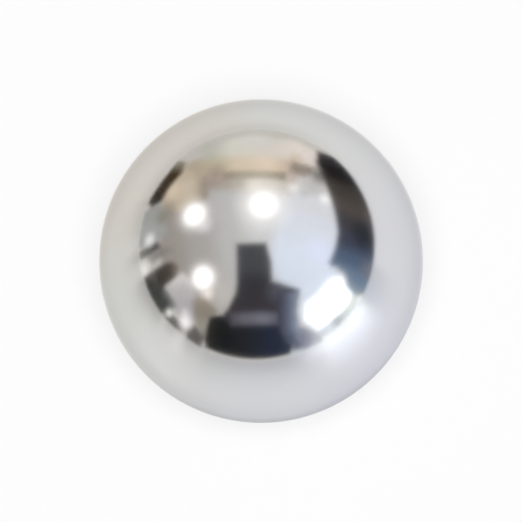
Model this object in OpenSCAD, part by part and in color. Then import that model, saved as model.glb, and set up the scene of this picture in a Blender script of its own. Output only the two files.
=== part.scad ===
// Steel ball: one solid piece of steel, ground and polished to a true sphere.
// Millimetres, +Z up. The origin is the centre of the ball.

/* [Ball] */
// Diameter of the ball
ball_d = 19.05; // [3:0.05:60]

/* [Hidden] */
// Facets round the ball, a multiple of four so that its mesh is alike in every quarter
ball_facets = 96;
// Grey of polished steel
steel_colour = [0.72, 0.72, 0.74];

// The ball: a whole sphere about the origin, with no flat, seam, hole or core
module ball() {
    color(steel_colour) sphere(d = ball_d, $fn = ball_facets);
}

ball();
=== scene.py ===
"""Looks of a polished steel ball on a pale studio floor.

A mirror-polished ball shows hardly anything of its own: its look is the room around it, bent round
the sphere. So this script makes the ball's surface, its steel, and the studio that the steel
mirrors. The studio is a set of glowing cards round the ball that only reflections can see, a painted
reflection of a room with its light and shade, over a pale floor whose painted light and shade only
reflections show. Soft light and the camera come last.
"""

import math

import bmesh
import bpy
from mathutils import Matrix, Vector


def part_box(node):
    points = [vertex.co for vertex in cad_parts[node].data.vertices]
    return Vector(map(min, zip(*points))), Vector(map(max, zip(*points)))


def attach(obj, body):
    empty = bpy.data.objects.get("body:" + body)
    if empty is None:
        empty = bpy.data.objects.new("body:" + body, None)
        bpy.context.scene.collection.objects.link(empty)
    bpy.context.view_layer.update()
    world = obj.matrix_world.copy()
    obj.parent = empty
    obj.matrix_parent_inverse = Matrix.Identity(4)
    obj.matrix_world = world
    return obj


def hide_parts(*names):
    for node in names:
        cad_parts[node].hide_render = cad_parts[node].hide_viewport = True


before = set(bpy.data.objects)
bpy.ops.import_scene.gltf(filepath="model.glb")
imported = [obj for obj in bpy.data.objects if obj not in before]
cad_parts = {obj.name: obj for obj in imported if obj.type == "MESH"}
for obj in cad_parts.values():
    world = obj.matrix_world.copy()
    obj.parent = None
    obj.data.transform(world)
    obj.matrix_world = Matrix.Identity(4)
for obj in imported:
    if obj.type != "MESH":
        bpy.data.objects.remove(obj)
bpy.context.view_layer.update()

# ---------------------------------------------------------------- sizes, in metres
BALL_LOW, BALL_HIGH = (Vector(corner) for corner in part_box("ball"))
BALL_CENTRE = (BALL_LOW + BALL_HIGH) / 2
BALL_R = (BALL_HIGH - BALL_LOW).z / 2
FLOOR_Z = BALL_CENTRE.z - BALL_R

# Camera: where it stands, from the ball's centre, and how much of its picture the ball fills
CAMERA_AZIMUTH = math.radians(15)
CAMERA_ELEVATION = math.radians(73.8)
CAMERA_DISTANCE = 22.7 * 2 * BALL_R
BALL_SHARE = 0.62
SENSOR_WIDTH = 36.0  # millimetres
NEAREST_SEEN = 0.01 * CAMERA_DISTANCE
FARTHEST_SEEN = 20 * CAMERA_DISTANCE

# ---------------------------------------------------------------- colours and light
STEEL = (0.650, 0.650, 0.660)
STEEL_EDGE = (0.72, 0.72, 0.735)  # tint of the steel's mirroring at a grazing angle
FLOOR = (0.98, 0.98, 0.982)
LAMP_LIGHT = (1.95, 1.92, 1.86)
WINDOW_LIGHT = (2.3, 2.5, 2.75)
ROUND_LIGHT = 0.25  # share of the floor's light that comes evenly from all round
KEY_LIGHT = 0.75  # share that comes from the soft light on the camera's side
KEY_LIGHT_WIDTH = math.radians(22)


def linear(channel):
    """Linear value of a screen value from 0 to 1, by the sRGB curve."""
    if channel <= 0.04045:
        return channel / 12.92
    return ((channel + 0.055) / 1.055) ** 2.4


def mirrored(red, green, blue):
    """Light that a card gives off so that the steel mirrors it as this screen colour, 0 to 255."""
    return tuple(linear(c / 255) / s for c, s in zip((red, green, blue), STEEL))


# ---------------------------------------------------------------- helpers
def link(obj):
    """Puts an object in the scene."""
    bpy.context.scene.collection.objects.link(obj)
    return obj


def new_material(name):
    """An empty node material, with its output node."""
    material = bpy.data.materials.new(name)
    material.use_nodes = True
    nodes = material.node_tree.nodes
    nodes.clear()
    return material, nodes, material.node_tree.links, nodes.new("ShaderNodeOutputMaterial")


def dot(nodes, links, vector, direction):
    """A socket with the dot product of a socket and a fixed direction."""
    product = nodes.new("ShaderNodeVectorMath")
    product.operation = "DOT_PRODUCT"
    product.inputs[1].default_value = direction
    links.new(vector, product.inputs[0])
    return product.outputs["Value"]


def ranged(nodes, links, value, low, high, to_low=0.0, to_high=1.0, smooth=False):
    """A socket that takes a value from one range to another and stays within it."""
    node = nodes.new("ShaderNodeMapRange")
    node.interpolation_type = "SMOOTHSTEP" if smooth else "LINEAR"
    settings = {"From Min": low, "From Max": high, "To Min": to_low, "To Max": to_high}
    for name, setting in settings.items():
        node.inputs[name].default_value = setting
    links.new(value, node.inputs["Value"])
    return node.outputs["Result"]


def maths(nodes, links, operation, first, second):
    """A socket with the result of one sum; the second value is a socket or a number."""
    node = nodes.new("ShaderNodeMath")
    node.operation = operation
    links.new(first, node.inputs[0])
    if isinstance(second, (int, float)):
        node.inputs[1].default_value = second
    else:
        links.new(second, node.inputs[1])
    return node.outputs["Value"]


def mixed(nodes, links, factor, first, second, blend="MIX"):
    """A socket with a mix of two colours; the first is a fixed colour or a socket, the second fixed."""
    node = nodes.new("ShaderNodeMix")
    node.data_type = "RGBA"
    node.blend_type = blend
    if isinstance(first, bpy.types.NodeSocket):
        links.new(first, node.inputs["A"])
    else:
        node.inputs["A"].default_value = (*first, 1)
    node.inputs["B"].default_value = (*second, 1)
    links.new(factor, node.inputs["Factor"])
    return node.outputs["Result"]


# ---------------------------------------------------------------- the ball
FACES_ACROSS = 64  # faces along each edge of the cube that is rounded into the ball
WELD_WITHIN = BALL_R * 1e-5  # distance at which the points of two patches are one


def cube_to_sphere(u, v, side):
    """Point on the unit sphere for place u, v (-1 to 1) on one side of a cube, at even angles."""
    a = math.tan(u * math.pi / 4)
    b = math.tan(v * math.pi / 4)
    axis, sign = side
    point = [0.0, 0.0, 0.0]
    point[axis] = sign
    point[(axis + 1) % 3] = a
    point[(axis + 2) % 3] = b * sign
    return Vector(point).normalized()


def make_ball():
    """The ball's surface: six square patches of even faces, welded, with no pole anywhere."""
    mesh = bmesh.new()
    steps = [-1 + 2 * i / FACES_ACROSS for i in range(FACES_ACROSS + 1)]
    for side in [(axis, sign) for axis in range(3) for sign in (-1, 1)]:
        rows = [
            [mesh.verts.new(BALL_CENTRE + BALL_R * cube_to_sphere(u, v, side)) for u in steps]
            for v in steps
        ]
        for low, high in zip(rows, rows[1:]):
            for i in range(FACES_ACROSS):
                mesh.faces.new((low[i], low[i + 1], high[i + 1], high[i]))
    bmesh.ops.remove_doubles(mesh, verts=mesh.verts, dist=WELD_WITHIN)
    for face in mesh.faces:
        face.smooth = True
    data = bpy.data.meshes.new("polished_ball")
    mesh.to_mesh(data)
    mesh.free()
    data.normals_split_custom_set_from_vertices(
        [(vert.co - BALL_CENTRE).normalized() for vert in data.vertices]
    )
    return link(bpy.data.objects.new("polished_ball", data))


# ---------------------------------------------------------------- the steel
HAZE_SIZE = BALL_R * 0.45  # size of the patches of slightly duller polish
HAZE_TONE = 0.012  # how much lighter or darker they are
HAZE_LOW, HAZE_HIGH = 0.3, 0.7  # values of the noise at which the polish is dullest and sharpest
SHARP_ROUGHNESS = 0.095
HAZY_ROUGHNESS = 0.130
LINE_SETS = 6  # directions in which the ball was lapped
SET_TURN = math.pi * (3 - math.sqrt(5))  # golden angle, which spreads those directions evenly
LINE_SPACING = 0.0011
LINE_WIDTH = 0.035  # share of the spacing
LINE_ROUGHNESS = 0.05
LINE_DEPTH = 2e-7
BREAK_SIZE = BALL_R * 0.3  # size of the patches that break the lines into pieces
BREAK_LOW, BREAK_HIGH = 0.55, 0.70  # values of the noise between which a line comes in
SET_SHIFT = BALL_R * 7  # how far apart the sets take their noise, so that they break in other places


def noise(nodes, links, place, size, detail=2.0):
    """A socket of soft noise, from 0 to 1, with lumps of about one size."""
    node = nodes.new("ShaderNodeTexNoise")
    node.inputs["Scale"].default_value = 1 / size
    node.inputs["Detail"].default_value = detail
    links.new(place, node.inputs["Vector"])
    return node.outputs["Fac"]


def lapping_lines(nodes, links, place):
    """Hairlines left by lapping: thin broken circles round a few axes, 1 on a line and 0 off it."""
    total = None
    for i in range(LINE_SETS):
        height = 1 - (2 * i + 1) / (LINE_SETS * 2)
        turn = i * SET_TURN
        flat = math.sqrt(1 - height * height)
        axis = Vector((flat * math.cos(turn), flat * math.sin(turn), height))
        circles = nodes.new("ShaderNodeTexVoronoi")
        circles.voronoi_dimensions = "1D"
        circles.feature = "DISTANCE_TO_EDGE"
        circles.inputs["Scale"].default_value = 1 / LINE_SPACING
        links.new(dot(nodes, links, place, axis), circles.inputs["W"])
        line = ranged(nodes, links, circles.outputs["Distance"], 0, LINE_WIDTH, 1, 0, smooth=True)
        shifted = nodes.new("ShaderNodeVectorMath")
        shifted.operation = "ADD"
        shifted.inputs[1].default_value = axis * SET_SHIFT
        links.new(place, shifted.inputs[0])
        broken = noise(nodes, links, shifted.outputs["Vector"], BREAK_SIZE)
        piece = maths(nodes, links, "MULTIPLY", line, ranged(nodes, links, broken, BREAK_LOW, BREAK_HIGH))
        total = piece if total is None else maths(nodes, links, "MAXIMUM", piece, total)
    return total


def steel_material():
    """Ground and polished steel: a near mirror with a breath of haze and fine lapping lines."""
    material, nodes, links, out = new_material("polished_steel")
    steel = nodes.new("ShaderNodeBsdfPrincipled")
    steel.inputs["Metallic"].default_value = 1.0
    steel.inputs["Specular Tint"].default_value = (*STEEL_EDGE, 1)
    links.new(steel.outputs["BSDF"], out.inputs["Surface"])
    place = nodes.new("ShaderNodeTexCoord").outputs["Object"]
    haze = noise(nodes, links, place, HAZE_SIZE, detail=4.0)
    lines = lapping_lines(nodes, links, place)

    dull = [c * (1 - HAZE_TONE) for c in STEEL]
    bright = [c * (1 + HAZE_TONE) for c in STEEL]
    links.new(mixed(nodes, links, haze, dull, bright), steel.inputs["Base Color"])

    polish = ranged(nodes, links, haze, HAZE_LOW, HAZE_HIGH, HAZY_ROUGHNESS, SHARP_ROUGHNESS)
    roughening = maths(nodes, links, "MULTIPLY", lines, LINE_ROUGHNESS)
    links.new(maths(nodes, links, "ADD", polish, roughening), steel.inputs["Roughness"])

    bump = nodes.new("ShaderNodeBump")
    bump.invert = True
    bump.inputs["Distance"].default_value = LINE_DEPTH
    links.new(lines, bump.inputs["Height"])
    links.new(bump.outputs["Normal"], steel.inputs["Normal"])
    return material


# ---------------------------------------------------------------- the studio's cards
CARD_REACH = 0.9  # how far from the ball the farthest cards stand, metres
CARD_STEP = 0.03  # how much nearer each layer of cards stands, metres
CARD_GRAIN = 1.5  # largest size of a card's faces, in degrees as seen from the ball
EDGE_FACES = 3  # least number of faces across a card's soft edge
HORIZON = 94  # lean at which the cards that stand on the floor end, just under it
TABLE_EDGE = 88.3  # lean at which the camera stand ends, at the pale table that it stands on
MOTTLE = 0.05  # how much a card's colour varies over its surface
MOTTLE_SIZE = 10.0  # in degrees


def sky(right, away):
    """Direction of a point of the sky chart, whose middle is straight up.

    The chart is flat, in degrees: a point lies as far from the middle as its direction leans from
    straight up, to the right along +X and away from the camera along +Y. The horizon is 90 out.
    """
    lean = math.radians(math.hypot(right, away))
    bearing = math.atan2(away, right)
    return Vector((math.sin(lean) * math.cos(bearing), math.sin(lean) * math.sin(bearing), math.cos(lean)))


def arc(right, away, radius, bearing_from, bearing_to, steps=16):
    """Points of an arc on the sky chart, about a centre, between two bearings in degrees."""
    bearings = [
        math.radians(bearing_from + (bearing_to - bearing_from) * i / steps) for i in range(steps + 1)
    ]
    return [(right + radius * math.cos(b), away + radius * math.sin(b)) for b in bearings]


def disc(right, away, radius, corners=32):
    """Outline of a round card on the sky chart."""
    return arc(right, away, radius, 0, 360 - 360 / corners, corners - 1)


def depth_inside(right, away, outline):
    """How far a point of the chart lies inside an outline, in degrees, and below 0 outside."""
    nearest = math.inf
    inside = False
    for (ax, ay), (bx, by) in zip(outline, outline[1:] + outline[:1]):
        dx, dy = bx - ax, by - ay
        along = ((right - ax) * dx + (away - ay) * dy) / (dx * dx + dy * dy)
        along = min(max(along, 0), 1)
        nearest = min(nearest, math.hypot(right - ax - along * dx, away - ay - along * dy))
        if (ay > away) != (by > away) and right < ax + (away - ay) * dx / dy:
            inside = not inside
    return nearest if inside else -nearest


def card_mesh(name, outline, layer, soft):
    """A card: an even net over its outline on the sky chart, set up round the ball.

    Each vertex keeps its place on the chart, and its cover: 0 outside the outline, 1 inside it, and
    in between across an edge that is soft degrees wide.
    """
    low_x, high_x = min(x for x, _ in outline) - soft, max(x for x, _ in outline) + soft
    low_y, high_y = min(y for _, y in outline) - soft, max(y for _, y in outline) + soft
    grain = min(CARD_GRAIN, soft / EDGE_FACES)
    across = math.ceil((high_x - low_x) / grain) + 1
    deep = math.ceil((high_y - low_y) / grain) + 1
    spots = [(low_x + i * grain, low_y + j * grain) for j in range(deep) for i in range(across)]
    covers = [min(max(0.5 + depth_inside(x, y, outline) / soft, 0), 1) for x, y in spots]
    corners = [
        (start, start + 1, start + across + 1, start + across)
        for start in (j * across + i for j in range(deep - 1) for i in range(across - 1))
    ]
    faces = [face for face in corners if any(covers[corner] > 0 for corner in face)]
    reach = CARD_REACH - layer * CARD_STEP
    data = bpy.data.meshes.new(name)
    data.from_pydata([BALL_CENTRE + sky(x, y) * reach for x, y in spots], [], faces)
    chart = data.attributes.new("chart", "FLOAT_VECTOR", "POINT")
    chart.data.foreach_set("vector", [value for x, y in spots for value in (x, y, 0)])
    cover = data.attributes.new("cover", "FLOAT", "POINT")
    cover.data.foreach_set("value", covers)
    return link(bpy.data.objects.new(name, data))


def only_in_reflections(obj):
    """Hides a card from everything but mirrors, so that it neither shows nor lights the floor."""
    obj.visible_camera = False
    obj.visible_diffuse = False
    obj.visible_transmission = False
    obj.visible_volume_scatter = False
    obj.visible_shadow = False


def attribute(nodes, name, output):
    """A socket that reads one of a card's own values."""
    node = nodes.new("ShaderNodeAttribute")
    node.attribute_name = name
    return node.outputs[output]


def shaded(nodes, links, colours, start, end):
    """Colours that follow each other evenly between two points of the chart, a little mottled."""
    chart = attribute(nodes, "chart", "Vector")
    along = Vector((*end, 0)) - Vector((*start, 0))
    direction = along / along.length_squared
    share = dot(nodes, links, chart, direction)
    share = maths(nodes, links, "SUBTRACT", share, Vector((*start, 0)).dot(direction))
    ramp = nodes.new("ShaderNodeValToRGB")
    ramp.color_ramp.interpolation = "EASE"
    stops = ramp.color_ramp.elements
    while len(stops) < len(colours):
        stops.new(0.5)
    for i, (stop, colour) in enumerate(zip(stops, colours)):
        stop.position = i / (len(colours) - 1)
        stop.color = (*mirrored(*colour), 1)
    links.new(share, ramp.inputs["Fac"])
    mottle = ranged(nodes, links, noise(nodes, links, chart, MOTTLE_SIZE), 0, 1, 1 - MOTTLE, 1 + MOTTLE)
    scaled = nodes.new("ShaderNodeVectorMath")
    scaled.operation = "SCALE"
    links.new(ramp.outputs["Color"], scaled.inputs[0])
    links.new(mottle, scaled.inputs["Scale"])
    return scaled.outputs["Vector"]


def card(name, outline, layer, colours, start=(0, 0), end=(0, 1), soft=3.0, strength=1.0, glow=None):
    """A soft-edged card in colours that the steel shows, or glowing brighter than any colour."""
    obj = card_mesh(name, outline, layer, soft)
    material, nodes, links, out = new_material(name)
    light = nodes.new("ShaderNodeEmission")
    if glow:
        light.inputs["Color"].default_value = (*glow, 1)
    elif len(colours) == 1:
        light.inputs["Color"].default_value = (*mirrored(*colours[0]), 1)
    else:
        links.new(shaded(nodes, links, colours, start, end), light.inputs["Color"])
    cover = ranged(nodes, links, attribute(nodes, "cover", "Fac"), 0, 1, 0, strength, smooth=True)
    mix = nodes.new("ShaderNodeMixShader")
    links.new(cover, mix.inputs["Fac"])
    links.new(nodes.new("ShaderNodeBsdfTransparent").outputs["BSDF"], mix.inputs[1])
    links.new(light.outputs["Emission"], mix.inputs[2])
    links.new(mix.outputs["Shader"], out.inputs["Surface"])
    obj.data.materials.append(material)
    only_in_reflections(obj)


def wash(name, right, away, radius, layer, colour, strength=1.0):
    """A round pool of light or shade, strongest in its middle and gone at its radius."""
    card(name, disc(right, away, radius / 2), layer, [colour], soft=radius, strength=strength)


# ---------------------------------------------------------------- what the ball mirrors: a room painted with its light and shade
def make_room():
    """The dull ground of the room and its ceiling, lit blue-white by the window on the right."""
    card("room", disc(0, 0, HORIZON, corners=48), 0, [(190, 186, 181)], soft=4.5)
    ceiling = [(-66, 20), (-52, 44), (-20, 45), (22, 45), (46, 52), (64, 20), (60, -20), (40, -56),
               (0, -64), (-44, -56), (-64, -30), (-73, 2)]
    card("ceiling", ceiling, 1, [(151, 144, 138), (164, 160, 156), (184, 183, 181), (204, 204, 205)],
         start=(-62, 0), end=(4, 8), soft=6)
    daylit = [(15, 48), (14, 10), (11, -18), (18, -34), (34, -42), (56, -26), (64, -8), (64, 20), (55, 46),
              (40, 58), (24, 56)]
    day = [(196, 192, 188), (212, 213, 217), (214, 219, 228), (216, 223, 236), (211, 219, 231)]
    card("daylit_ceiling", daylit, 2, day, start=(42, 50), end=(28, -30), soft=11)
    wash("daylit_blue", 46, -5, 17, 3, (222, 229, 252), 0.8)
    wash("ceiling_near", -24, -38, 17, 2, (190, 185, 180), 0.8)
    wash("ceiling_spot", 24.5, 39, 7, 5, (240, 234, 228), 0.8)
    wash("ceiling_spot_shade", 31.8, 36.5, 6.5, 6, (184, 184, 182), 0.6)
    warm = [(158, 147, 137), (168, 159, 148), (182, 175, 164), (226, 218, 206), (208, 201, 190),
            (194, 187, 176)]
    card("ceiling_warm", [(-35, 47), (22, 47), (22, 34), (-6, 34), (-35, 38)], 3, warm, start=(-32, 0),
         end=(18, 0), soft=9)


def make_walls():
    """Far wall and left wall in warm plaster, and a pale strip between the far wall and the table."""
    strip = arc(0, 0, 66, 40, 138) + arc(0, 0, HORIZON, 138, 40)
    card("pale_strip", strip, 1, [(208, 200, 196), (190, 185, 180), (186, 185, 176), (201, 200, 191),
                                  (212, 211, 204), (200, 196, 188), (218, 211, 203), (221, 212, 205)],
         start=(-60, 0), end=(38, 0), soft=4)
    card("pale_strip_foot", arc(0, 0, 84, 50, 135) + arc(0, 0, HORIZON, 135, 50), 2, [(187, 184, 177)],
         soft=8, strength=0.8)
    far = [(-52, 51), (-36, 47), (19, 47), (26, 54), (38, 60), (38, 67), (20, 70), (-4, 71), (-30, 69),
           (-52, 64)]
    card("far_wall", far, 2, [(172, 160, 140), (182, 172, 149), (209, 194, 171), (221, 204, 183),
                              (198, 181, 161), (217, 208, 201)], start=(-46, 0), end=(38, 0), soft=8)
    card("far_wall_top", [(-38, 64), (20, 63), (25, 80), (-42, 80)], 3,
         [(180, 179, 168), (210, 206, 196), (208, 203, 195), (221, 212, 203)], start=(-36, 0), end=(22, 0),
         soft=12, strength=0.9)
    card("far_wall_foot", [(-24, 51), (19, 51), (19, 44.5), (-24, 44.5)], 4,
         [(150, 140, 124), (168, 160, 142), (174, 165, 147), (146, 136, 119)], start=(-22, 0), end=(18, 0),
         soft=4)
    card("far_wall_edge", [(20, 60), (27, 58), (27, 43), (21, 43)], 3, [(191, 174, 159)], soft=6,
         strength=0.85)
    wash("far_wall_shade", -29, 50, 12, 4, (160, 142, 132), 0.9)
    card("far_corner", [(21.5, 61), (37, 60), (38, 55), (31, 50), (21.5, 52)], 4, [(138, 127, 117)], soft=7,
         strength=0.95)
    wash("far_corner_light", 32, 68, 9, 3, (222, 210, 204), 0.9)
    wash("far_corner_edge", 42.5, 54.3, 11.5, 4, (98, 98, 94), 0.95)
    wash("far_corner_shade", 38, 43, 11, 3, (184, 184, 181), 0.8)
    left = [(-33, 47), (-34, 30), (-54, 25), (-66, 32), (-72, 40), (-56, 63), (-44, 55)]
    card("left_wall", left, 2, [(146, 134, 120), (194, 181, 162), (188, 174, 154), (158, 148, 134)],
         start=(-34, 0), end=(-72, 0), soft=5)
    wash("left_wall_light", -60, 44, 12, 3, (214, 197, 175), 0.8)
    wash("left_wall_shade", -63, 30, 10, 3, (146, 137, 124), 0.8)


def lamp(name, right, away, radius, glow_radius):
    """A round ceiling lamp in its pool of glow."""
    wash(name + "_glow", right, away, glow_radius, 4, (250, 246, 242), 0.9)
    card(name, disc(right, away, radius), 5, [], soft=radius, glow=LAMP_LIGHT)


def make_lamps():
    """Three round ceiling lamps and a faint fourth by the curtain."""
    lamp("lamp_far", 5, 24.5, 9, 26)
    lamp("lamp_left", -43, 20.5, 7.5, 17)
    lamp("lamp_near", -38.5, -25, 7.5, 16)
    wash("lamp_left_tail", -36, 12, 9, 4, (226, 221, 222), 0.8)
    wash("lamp_near_tail", -36, -36.5, 8, 4, (242, 231, 222), 0.9)
    wash("lamp_by_curtain", 47, 35, 7, 4, (250, 250, 250), 0.95)


def make_window():
    """The window, low on the right, with its sill's thin line and the table's glare under it."""
    wash("window_glow", 58, -42, 38, 3, (226, 237, 253), 0.6)
    inner_line = [(76, -31), (75, -38), (70, -46), (63, -52.5), (58, -58), (51, -64)]
    outer_line = [(54, -68), (62, -62), (68, -57), (74, -49), (79, -41), (81, -32)]
    window = ([(54, -27), (58, -23), (64, -20.5), (69, -27)] + inner_line
              + [(44, -60), (38, -57), (38, -45), (47, -37)])
    card("window", window, 4, [], soft=8, glow=WINDOW_LIGHT)
    card("sill_glare", arc(0, 0, HORIZON, -54, -17) + outer_line[::-1], 3, [(243, 249, 251)], soft=3)
    low = arc(0, 0, HORIZON, -73, -54) + [(46, -66), (32, -76), (26, -80)]
    card("low_right", low, 3, [(190, 196, 200)], soft=5)
    card("sill_line", inner_line + outer_line, 5, [(218, 226, 217), (226, 232, 224), (204, 210, 205),
                                                   (176, 180, 182), (222, 226, 234), (208, 211, 222)],
         start=(80, -33), end=(54, -67), soft=2.5)


def make_curtain():
    """A dark curtain that stands to the right, from the far corner to the window."""
    tip = [(38, 77), (38, 64), (41.5, 59), (44.5, 53)]
    long_side = arc(-90, -17, 151, 25, 11) + arc(8, 9, 50, 0, -24)
    hem = [(54.5, -14), (61.5, -14.8), (69, -19), (71, -27), (78, -31), (83, -29)]
    outline = arc(0, 0, HORIZON, -17, 54) + tip + long_side + hem
    # From the far corner to the window: the dark curtain with the painted light and shade of its folds,
    # turning lighter and blue-grey with painted window light near the window.
    folds_and_window_light = [(34, 31, 36), (17, 15, 17), (60, 55, 51), (76, 70, 66), (58, 56, 60), (58, 62, 77),
             (77, 92, 115), (105, 123, 145), (132, 146, 157)]
    card("curtain", outline, 5, folds_and_window_light, start=(70, 74), end=(70, -32), soft=5)
    wash("curtain_fold", 80, 17, 16, 6, (32, 37, 44), 0.95)
    wash("curtain_hem", 87, -9, 12, 6, (112, 113, 120), 0.8)


def make_camera_stand():
    """The dark camera on its column and base, seen in the middle of the ball."""
    left_side = [(-13, -3.5), (-13, -16), (-13.5, -31), (-15, -38), (-21, -48), (-26, -53), (-36, -54),
                 (-40, -61), (-45, -76)]
    right_side = [(29, -78), (31, -58), (30, -50), (33, -34.5), (24, -32.3), (12.5, -29.5), (11.5, -16),
                  (7.5, -2.8)]
    card("stand", left_side + arc(0, 0, TABLE_EDGE, 239, 288) + right_side, 7,
         [(66, 66, 69), (67, 68, 72), (50, 49, 53), (54, 51, 56), (42, 44, 52)], start=(0, -2),
         end=(0, -64), soft=4.5)
    base = [(-40, -61), (-36, -53.5), (-28, -53.5), (-20, -61), (16, -62), (23, -66), (28, -77)]
    card("stand_base", base + arc(0, 0, TABLE_EDGE, 287, 239) + [(-45, -76)], 8,
         [(32, 33, 31), (25, 26, 28), (31, 33, 36), (34, 38, 46), (36, 41, 57), (37, 43, 60)],
         start=(-40, -70), end=(24, -70), soft=2.5)
    card("stand_band", [(-20, -52), (18, -52), (18, -61), (-20, -61)], 9,
         [(84, 81, 86), (100, 98, 107), (112, 112, 123), (90, 90, 104)], start=(-20, 0), end=(18, 0),
         soft=7)
    side = [(17, -37), (32, -36), (31, -50), (34, -61), (35, -73), (29, -78), (24, -75), (18, -66)]
    card("stand_side", side, 10, [(64, 65, 78), (76, 79, 95), (94, 100, 117), (113, 122, 141),
                                  (134, 142, 159), (168, 176, 192)], start=(18, 0), end=(35.5, 0), soft=5)
    wash("stand_corner", 28, -73, 13, 11, (52, 58, 75), 0.65)
    wash("stand_shoulder", 15, -37, 12, 8, (92, 94, 106), 0.5)
    foot = [(32, -62), (41, -64), (51, -68.5), (48, -74), (42, -79), (30, -81)]
    card("stand_foot", foot, 6, [(96, 100, 120), (128, 130, 150), (142, 145, 158), (168, 171, 183),
                                 (196, 199, 212)], start=(32, 0), end=(52, 0), soft=4)


def make_left_things():
    """Small things low on the left: a dark bar, a pane and a dark open frame."""
    bar = [(-57, 70), (-51, 66), (-53, 57), (-63, 47), (-68.5, 38.5), (-77, 37), (-80.5, 43)]
    card("dark_bar", bar, 4, [(124, 118, 102), (52, 34, 12), (44, 30, 14), (38, 32, 28)], start=(-57, 69),
         end=(-76, 42), soft=3.5)
    pane = [(-84, 36), (-70, 37), (-65, 30), (-65, 10), (-92, 10)]
    card("pane", pane, 3, [(148, 147, 143), (153, 155, 152), (160, 161, 158), (150, 150, 148)],
         start=(0, 38), end=(0, 10), soft=4)
    wash("pane_side", -67, 25, 11, 4, (130, 126, 114), 0.85)
    wash("pane_spot", -80, 12, 8, 4, (236, 236, 234), 0.95)
    card("pane_foot", [(-73, 9), (-70, 3), (-80, 1), (-93, 1), (-93, 7), (-80, 8)], 4,
         [(126, 124, 121), (98, 96, 93), (64, 62, 60)], start=(-92, 0), end=(-76, 0), soft=4)
    low_shade = [(-85, 1), (-60, 2), (-60, -3), (-72, -4), (-80, -6)]
    card("low_shade", low_shade, 3, [(146, 143, 139), (126, 121, 116), (144, 138, 132)], start=(-82, 0),
         end=(-60, 0), soft=5)
    wash("left_patch", -89, -8, 11, 4, (236, 234, 231), 1.0)
    frame_top = [(-90, -13), (-78, -11), (-68, -9), (-61, -10), (-57, -14), (-60, -21), (-68, -24.5),
                 (-76, -27), (-90, -26)]
    card("frame_top", frame_top, 5,
         [(52, 52, 50), (80, 79, 76), (56, 51, 47), (66, 58, 52), (112, 103, 96)], start=(-90, 0),
         end=(-58, 0), soft=3.5)
    frame_side = [(-91, -14), (-75, -22), (-68, -31), (-63, -41), (-68, -43.5), (-80, -44), (-87, -30)]
    card("frame_side", frame_side, 5, [(40, 40, 37), (58, 60, 56), (122, 125, 120)], start=(-87, -24),
         end=(-66, -32), soft=4)
    wash("frame_foot", -74, -38.5, 10, 6, (46, 47, 44), 1.0)
    frame_tail = [(-78, -47), (-70, -46.5), (-61, -55.5), (-62, -61.5), (-70, -57)]
    card("frame_tail", frame_tail, 5, [(76, 74, 71), (90, 87, 84), (116, 111, 107)], start=(0, -46),
         end=(0, -60), soft=3)
    frame_light = [(-68, -23), (-54, -19), (-47, -26), (-46, -44), (-52, -60), (-62, -57), (-65, -40)]
    card("frame_light", frame_light, 3,
         [(209, 204, 200), (180, 176, 176), (168, 164, 167), (178, 171, 172)], start=(0, -20),
         end=(0, -58), soft=5)
    wash("frame_spot_top", -57, -47.5, 6, 5, (216, 213, 215), 0.8)
    wash("frame_spot", -58.5, -54.5, 9.5, 6, (255, 250, 250), 1.0)
    wash("frame_spot_small", -71.5, -45, 5, 7, (242, 244, 238), 1.0)
    brown = [(-49, -40), (-38, -40), (-30, -50), (-36, -57), (-42, -72), (-52, -70), (-50, -58)]
    card("brown_patch", brown, 4, [(146, 136, 123), (136, 128, 116), (150, 146, 137), (112, 108, 102)],
         start=(0, -40), end=(0, -70), soft=6)
    card("brown_foot", [(-59, -60), (-50, -58), (-46, -70), (-50, -76), (-61, -67)], 5, [(92, 88, 85)],
         soft=4)


# ---------------------------------------------------------------- the floor
# To the camera the floor is plain and even but for the ball's shadow. What the ball mirrors of it has
# painted light and shade, each on its side of the ball: the tints of the room's light, painted shade
# far off and round the foot, and painted glow and glare. Lengths are in metres, from the point that the
# ball stands on. How far a tint goes round the ball from its own direction is given by two cosines:
# where it ends, and where it is full.
FLOOR_REACH = 3.0
FLOOR_CORNERS = 96
OWN_WHITE = 0.70  # share of the floor's tone in the picture that no shadow darkens

COOL_SIDE = Vector((0.85, -0.53, 0))  # towards the window, away from the warm walls
WARM_LIGHT_TINT = (0.965, 0.962, 0.880)  # painted warm light on the floor on the warm walls' side
COOL_LIGHT_TINT = (0.955, 0.955, 1.000)  # and painted cool window light on the window's side
FAR_SHADE_TINT = (0.830, 0.815, 0.750)  # painted shade on the floor far off on the warm walls' side
FAR_SHADE_FROM, FAR_SHADE_TO = 0.03, 0.16
FAR_SHADE_CORE, FAR_SHADE_EDGE = -0.6, 0.4  # cosines, from the cool side

CORNER_SIDE = Vector((-0.707, 0.707, 0))  # towards the far left corner
CORNER_TINT = (0.977, 0.925, 0.897)  # what that corner's warm light leaves of the tints above
CORNER_EDGE, CORNER_CORE = 0.66, 0.985

FOOT_SHADE = 0.33  # how much darker the floor is close round the ball's foot
FOOT_SHADE_FULL, FOOT_SHADE_END = 0.85 * BALL_R, 1.30 * BALL_R

GLOW_TINT = (0.92, 0.97, 1.0)
GLOW = 0.08  # a bright table is a little lighter than white in the ball
FRONT_SIDE = Vector((0.035, -0.999, 0))
FRONT_GLOW = 0.05  # how much brighter it is near the ball in front
FRONT_GLOW_FULL, FRONT_GLOW_END = 0.05, 0.11
FRONT_EDGE, FRONT_CORE = 0.85, 0.99
WINDOW_SIDE = Vector((0.719, -0.695, 0))
GLARE = 0.37  # how much brighter it is near the window
GLARE_FROM, GLARE_TO = 0.02, 0.13
GLARE_EDGE, GLARE_CORE = 0.90, 0.985

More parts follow.
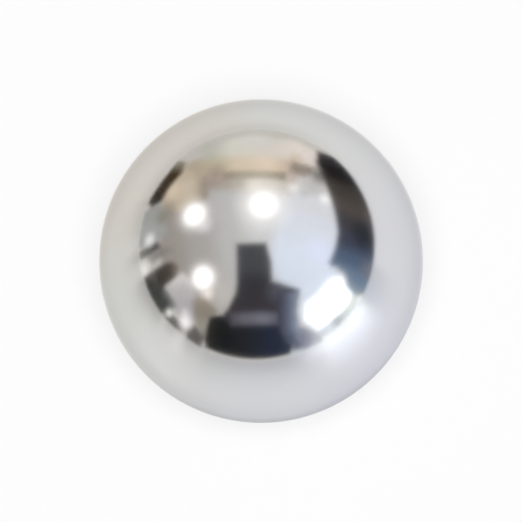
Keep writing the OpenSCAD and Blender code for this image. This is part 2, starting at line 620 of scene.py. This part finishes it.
MATT_SIDE = Vector((0.26, 0.966, 0))  # the far side, where the floor shows no gloss
GLOSS = 0.5  # strength of the soft gloss on the other sides
GLOSS_CORE, GLOSS_EDGE = -0.2, 0.25  # cosines, from the matt side
GLOSS_ROUGHNESS = 0.31
GLOSS_IOR = 1.8


def shown_floor(nodes, links, path):
    """The floor as the camera sees it: plain and matt, with a share of its white that no shadow dims."""
    matt = nodes.new("ShaderNodeBsdfDiffuse")
    matt.inputs["Color"].default_value = (*FLOOR, 1)
    white = nodes.new("ShaderNodeEmission")
    white.inputs["Color"].default_value = (*FLOOR, 1)
    shown = nodes.new("ShaderNodeMixShader")
    links.new(maths(nodes, links, "MULTIPLY", path["Is Camera Ray"], OWN_WHITE), shown.inputs["Fac"])
    links.new(matt.outputs["BSDF"], shown.inputs[1])
    links.new(white.outputs["Emission"], shown.inputs[2])
    return shown.outputs["Shader"]


def floor_place(nodes, links):
    """Sockets with the direction of a floor point from the ball, and with its distance."""
    place = nodes.new("ShaderNodeTexCoord").outputs["Object"]
    bearing = nodes.new("ShaderNodeVectorMath")
    bearing.operation = "NORMALIZE"
    links.new(place, bearing.inputs[0])
    distance = nodes.new("ShaderNodeVectorMath")
    distance.operation = "LENGTH"
    links.new(place, distance.inputs[0])
    return bearing.outputs["Vector"], distance.outputs["Value"]


def towards(nodes, links, bearing, side, low, high, to_low=0.0, to_high=1.0):
    """A socket that turns smoothly from one value to another as the bearing turns towards a side."""
    cosine = dot(nodes, links, bearing, side)
    return ranged(nodes, links, cosine, low, high, to_low, to_high, smooth=True)


def floor_tone(nodes, links, bearing, distance):
    """A socket with the mirrored floor's painted light and shade: warm or cool light, painted shade far
    off, and painted shade at the foot.
    """
    side = dot(nodes, links, bearing, COOL_SIDE)
    tone = mixed(nodes, links, ranged(nodes, links, side, -1, 1), WARM_LIGHT_TINT, COOL_LIGHT_TINT)
    far = ranged(nodes, links, distance, FAR_SHADE_FROM, FAR_SHADE_TO, smooth=True)
    warm_side = towards(nodes, links, bearing, COOL_SIDE, FAR_SHADE_CORE, FAR_SHADE_EDGE, 1, 0)
    tone = mixed(nodes, links, maths(nodes, links, "MULTIPLY", far, warm_side), tone, FAR_SHADE_TINT)
    corner = towards(nodes, links, bearing, CORNER_SIDE, CORNER_EDGE, CORNER_CORE)
    tone = mixed(nodes, links, corner, tone, CORNER_TINT, blend="MULTIPLY")
    foot = ranged(nodes, links, distance, FOOT_SHADE_FULL, FOOT_SHADE_END, FOOT_SHADE, 0, smooth=True)
    return mixed(nodes, links, foot, tone, (0, 0, 0))


def floor_glow(nodes, links, bearing, distance):
    """A socket with how much lighter the mirrored floor is: in front, and most near the window."""
    glare = towards(nodes, links, bearing, WINDOW_SIDE, GLARE_EDGE, GLARE_CORE, 0, GLARE)
    reach = ranged(nodes, links, distance, GLARE_FROM, GLARE_TO, smooth=True)
    glow = maths(nodes, links, "MULTIPLY", reach, glare)
    in_front = towards(nodes, links, bearing, FRONT_SIDE, FRONT_EDGE, FRONT_CORE)
    near = ranged(nodes, links, distance, FRONT_GLOW_FULL, FRONT_GLOW_END, FRONT_GLOW, 0, smooth=True)
    glow = maths(nodes, links, "ADD", glow, maths(nodes, links, "MULTIPLY", in_front, near))
    return maths(nodes, links, "ADD", glow, GLOW)


def mirrored_floor(nodes, links):
    """The floor as the ball mirrors it: a table top with a soft gloss, in the tints of the room's light."""
    bearing, distance = floor_place(nodes, links)
    table = nodes.new("ShaderNodeBsdfPrincipled")
    table.inputs["Roughness"].default_value = GLOSS_ROUGHNESS
    table.inputs["IOR"].default_value = GLOSS_IOR
    table.inputs["Emission Color"].default_value = (*GLOW_TINT, 1)
    gloss = towards(nodes, links, bearing, MATT_SIDE, GLOSS_CORE, GLOSS_EDGE, GLOSS, 0)
    links.new(floor_tone(nodes, links, bearing, distance), table.inputs["Base Color"])
    links.new(floor_glow(nodes, links, bearing, distance), table.inputs["Emission Strength"])
    links.new(gloss, table.inputs["Specular IOR Level"])
    return table.outputs["BSDF"]


def make_floor():
    """The pale floor under the ball, wide enough to pass for endless."""
    mesh = bmesh.new()
    bmesh.ops.create_circle(mesh, cap_ends=True, segments=FLOOR_CORNERS, radius=FLOOR_REACH)
    data = bpy.data.meshes.new("floor")
    mesh.to_mesh(data)
    mesh.free()
    floor = link(bpy.data.objects.new("floor", data))
    floor.location = (BALL_CENTRE.x, BALL_CENTRE.y, FLOOR_Z)
    material, nodes, links, out = new_material("pale_floor")
    path = nodes.new("ShaderNodeLightPath").outputs
    mix = nodes.new("ShaderNodeMixShader")
    links.new(path["Is Glossy Ray"], mix.inputs["Fac"])
    links.new(shown_floor(nodes, links, path), mix.inputs[1])
    links.new(mirrored_floor(nodes, links), mix.inputs[2])
    links.new(mix.outputs["Shader"], out.inputs["Surface"])
    data.materials.append(material)


# ---------------------------------------------------------------- light and camera
def make_world():
    """Even soft light from all round. What is seen of it, straight or mirrored, is the floor's tone."""
    world = bpy.data.worlds.new("studio")
    world.use_nodes = True
    bpy.context.scene.world = world
    nodes, links = world.node_tree.nodes, world.node_tree.links
    nodes.clear()
    out = nodes.new("ShaderNodeOutputWorld")
    light = nodes.new("ShaderNodeBackground")
    light.inputs["Color"].default_value = (ROUND_LIGHT, ROUND_LIGHT, ROUND_LIGHT, 1)
    seen = nodes.new("ShaderNodeBackground")
    seen.inputs["Color"].default_value = (*[c * (ROUND_LIGHT + KEY_LIGHT) for c in FLOOR], 1)
    path = nodes.new("ShaderNodeLightPath").outputs
    either = maths(nodes, links, "MAXIMUM", path["Is Camera Ray"], path["Is Glossy Ray"])
    any_view = maths(nodes, links, "MAXIMUM", either, path["Is Transmission Ray"])
    mix = nodes.new("ShaderNodeMixShader")
    links.new(any_view, mix.inputs["Fac"])
    links.new(light.outputs["Background"], mix.inputs[1])
    links.new(seen.outputs["Background"], mix.inputs[2])
    links.new(mix.outputs["Shader"], out.inputs["Surface"])


def towards_camera():
    """Direction from the ball to the camera."""
    flat = math.cos(CAMERA_ELEVATION)
    right = math.sin(CAMERA_AZIMUTH) * flat
    away = -math.cos(CAMERA_AZIMUTH) * flat
    return Vector((right, away, math.sin(CAMERA_ELEVATION)))


def make_key_light():
    """A soft light from the camera's side, so that the ball's shadow falls behind the ball."""
    data = bpy.data.lights.new("key_light", "SUN")
    data.energy = KEY_LIGHT * math.pi / math.sin(CAMERA_ELEVATION)
    data.angle = KEY_LIGHT_WIDTH
    light = link(bpy.data.objects.new("key_light", data))
    light.matrix_world = towards_camera().to_track_quat("Z", "Y").to_matrix().to_4x4()
    light.visible_glossy = False


def make_camera():
    """Looks down on the ball from the photograph's angle, with +X to the right in the picture."""
    back = towards_camera()
    right = (Vector((1, 0, 0)) - back * back.x).normalized()
    up = back.cross(right)
    data = bpy.data.cameras.new("camera")
    data.sensor_width = SENSOR_WIDTH
    picture_width = 2 * BALL_R / BALL_SHARE
    data.lens = SENSOR_WIDTH * CAMERA_DISTANCE / picture_width
    data.clip_start = NEAREST_SEEN
    data.clip_end = FARTHEST_SEEN
    camera = link(bpy.data.objects.new("camera", data))
    turn = Matrix((right, up, back)).transposed()
    camera.matrix_world = Matrix.Translation(BALL_CENTRE + back * CAMERA_DISTANCE) @ turn.to_4x4()
    bpy.context.scene.camera = camera


ball = make_ball()
ball.data.materials.append(steel_material())
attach(ball, "root")
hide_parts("ball")

make_camera()
make_world()
make_key_light()
make_floor()
make_room()
make_walls()
make_lamps()
make_window()
make_curtain()
make_camera_stand()
make_left_things()

bpy.context.scene.view_settings.view_transform = "Standard"
